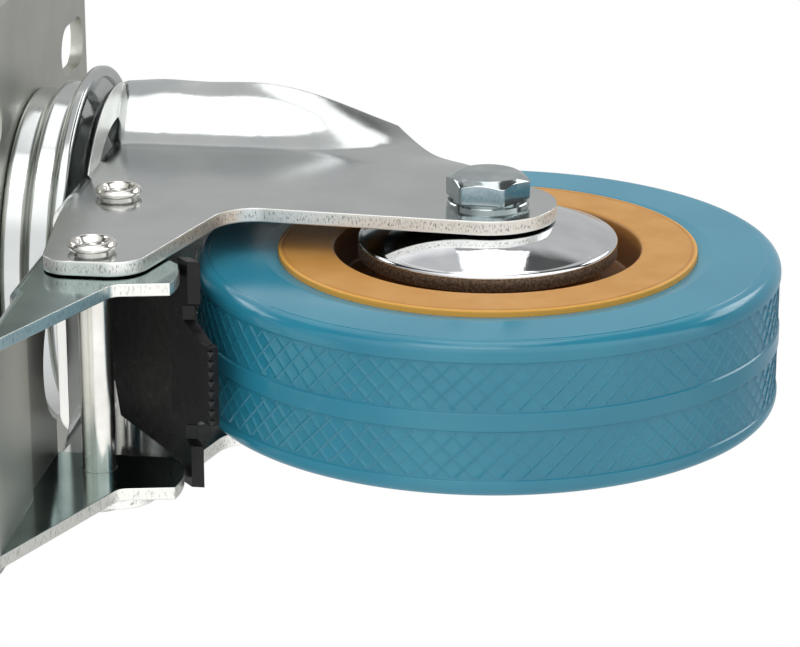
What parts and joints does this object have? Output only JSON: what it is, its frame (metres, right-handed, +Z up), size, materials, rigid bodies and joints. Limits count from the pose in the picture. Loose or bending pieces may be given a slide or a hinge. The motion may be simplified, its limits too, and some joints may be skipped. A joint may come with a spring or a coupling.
{
  "type": "swivel caster",
  "caption": "Swivel plate caster with a blue tread wheel, ball-bearing swivel head, pressed zinc fork and foot-pedal wheel brake.",
  "frame": {"origin": "centre of the mounting plate's top face, on the swivel axis", "axes": "+Z up out of the plate's top face along the swivel axis, +X the leading side, so the wheel trails and the foot pedal points towards -X, +Y along the axle towards its nut"},
  "size_m": [0.2073, 0.125, 0.1735],
  "materials": {
    "plate_zinc": "zinc plated sheet, satin",
    "cup_zinc": "zinc plated pressing, bright",
    "fork_zinc": "zinc plated pressing, satin",
    "pedal_zinc": "zinc plated pressing, satin",
    "pin_steel": "bright steel",
    "bolt_zinc": "zinc plated, bright",
    "race_steel": "ground steel",
    "ball_steel": "polished",
    "guard_chrome": "polished plating",
    "tyre_rubber": "glossy moulded rubber, blue",
    "hub_nylon": "moulded nylon, tan",
    "shoe_black": "black oxide, satin"
  },
  "bodies": {
    "head": {"top_plate": "plate_zinc", "bearing_cup": "cup_zinc", "kingpin": "pin_steel", "lower_race": "race_steel", "kingpin_collar": "pin_steel"},
    "upper_row": {"upper_balls": "ball_steel"},
    "lower_row": {"lower_balls": "ball_steel"},
    "frame": {"fork": "fork_zinc", "pedal_pin": "pin_steel", "shoe_pin": "pin_steel", "axle_bolt": "bolt_zinc", "axle_nut": "bolt_zinc", "axle_washer": "bolt_zinc", "axle_sleeve": "race_steel", "left_guard": "guard_chrome", "right_guard": "guard_chrome", "left_inner_ring": "race_steel", "right_inner_ring": "race_steel"},
    "wheel": {"tyre": "tyre_rubber", "hub": "hub_nylon", "left_outer_ring": "race_steel", "right_outer_ring": "race_steel"},
    "left_row": {"left_balls": "ball_steel"},
    "right_row": {"right_balls": "ball_steel"},
    "pedal": {"brake_pedal": "pedal_zinc"},
    "shoe": {"brake_shoe": "shoe_black"}
  },
  "joints": [
    {"name": "swivel", "type": "hinge", "parent": "head", "child": "frame", "pos_m": [0, 0, 0], "axis": [0, 0, 1], "continuous": true},
    {"name": "upper_row_turn", "type": "hinge", "parent": "head", "child": "upper_row", "pos_m": [0, 0, 0], "axis": [0, 0, 1], "continuous": true},
    {"name": "lower_row_turn", "type": "hinge", "parent": "head", "child": "lower_row", "pos_m": [0, 0, 0], "axis": [0, 0, 1], "continuous": true},
    {"name": "wheel_roll", "type": "hinge", "parent": "frame", "child": "wheel", "pos_m": [-0.038, 0, -0.111], "axis": [0, 1, 0], "continuous": true},
    {"name": "left_row_turn", "type": "hinge", "parent": "frame", "child": "left_row", "pos_m": [-0.038, 0, -0.111], "axis": [0, 1, 0], "continuous": true},
    {"name": "right_row_turn", "type": "hinge", "parent": "frame", "child": "right_row", "pos_m": [-0.038, 0, -0.111], "axis": [0, 1, 0], "continuous": true},
    {"name": "pedal_press", "type": "hinge", "parent": "frame", "child": "pedal", "pos_m": [-0.0823, 0, -0.0353], "axis": [0, -1, 0], "range_deg": [0, 26]},
    {"name": "shoe_bite", "type": "hinge", "parent": "frame", "child": "shoe", "pos_m": [-0.0443, 0, -0.0323], "axis": [0, -1, 0], "range_deg": [0, 7.1]}
  ],
  "couplings": [
    {"joint": "upper_row_turn", "follows": "swivel", "ratio": 0.5},
    {"joint": "lower_row_turn", "follows": "swivel", "ratio": 0.5},
    {"joint": "left_row_turn", "follows": "wheel_roll", "ratio": 0.62},
    {"joint": "right_row_turn", "follows": "wheel_roll", "ratio": 0.62},
    {"joint": "shoe_bite", "follows": "pedal_press", "ratio": 0.27}
  ]
}
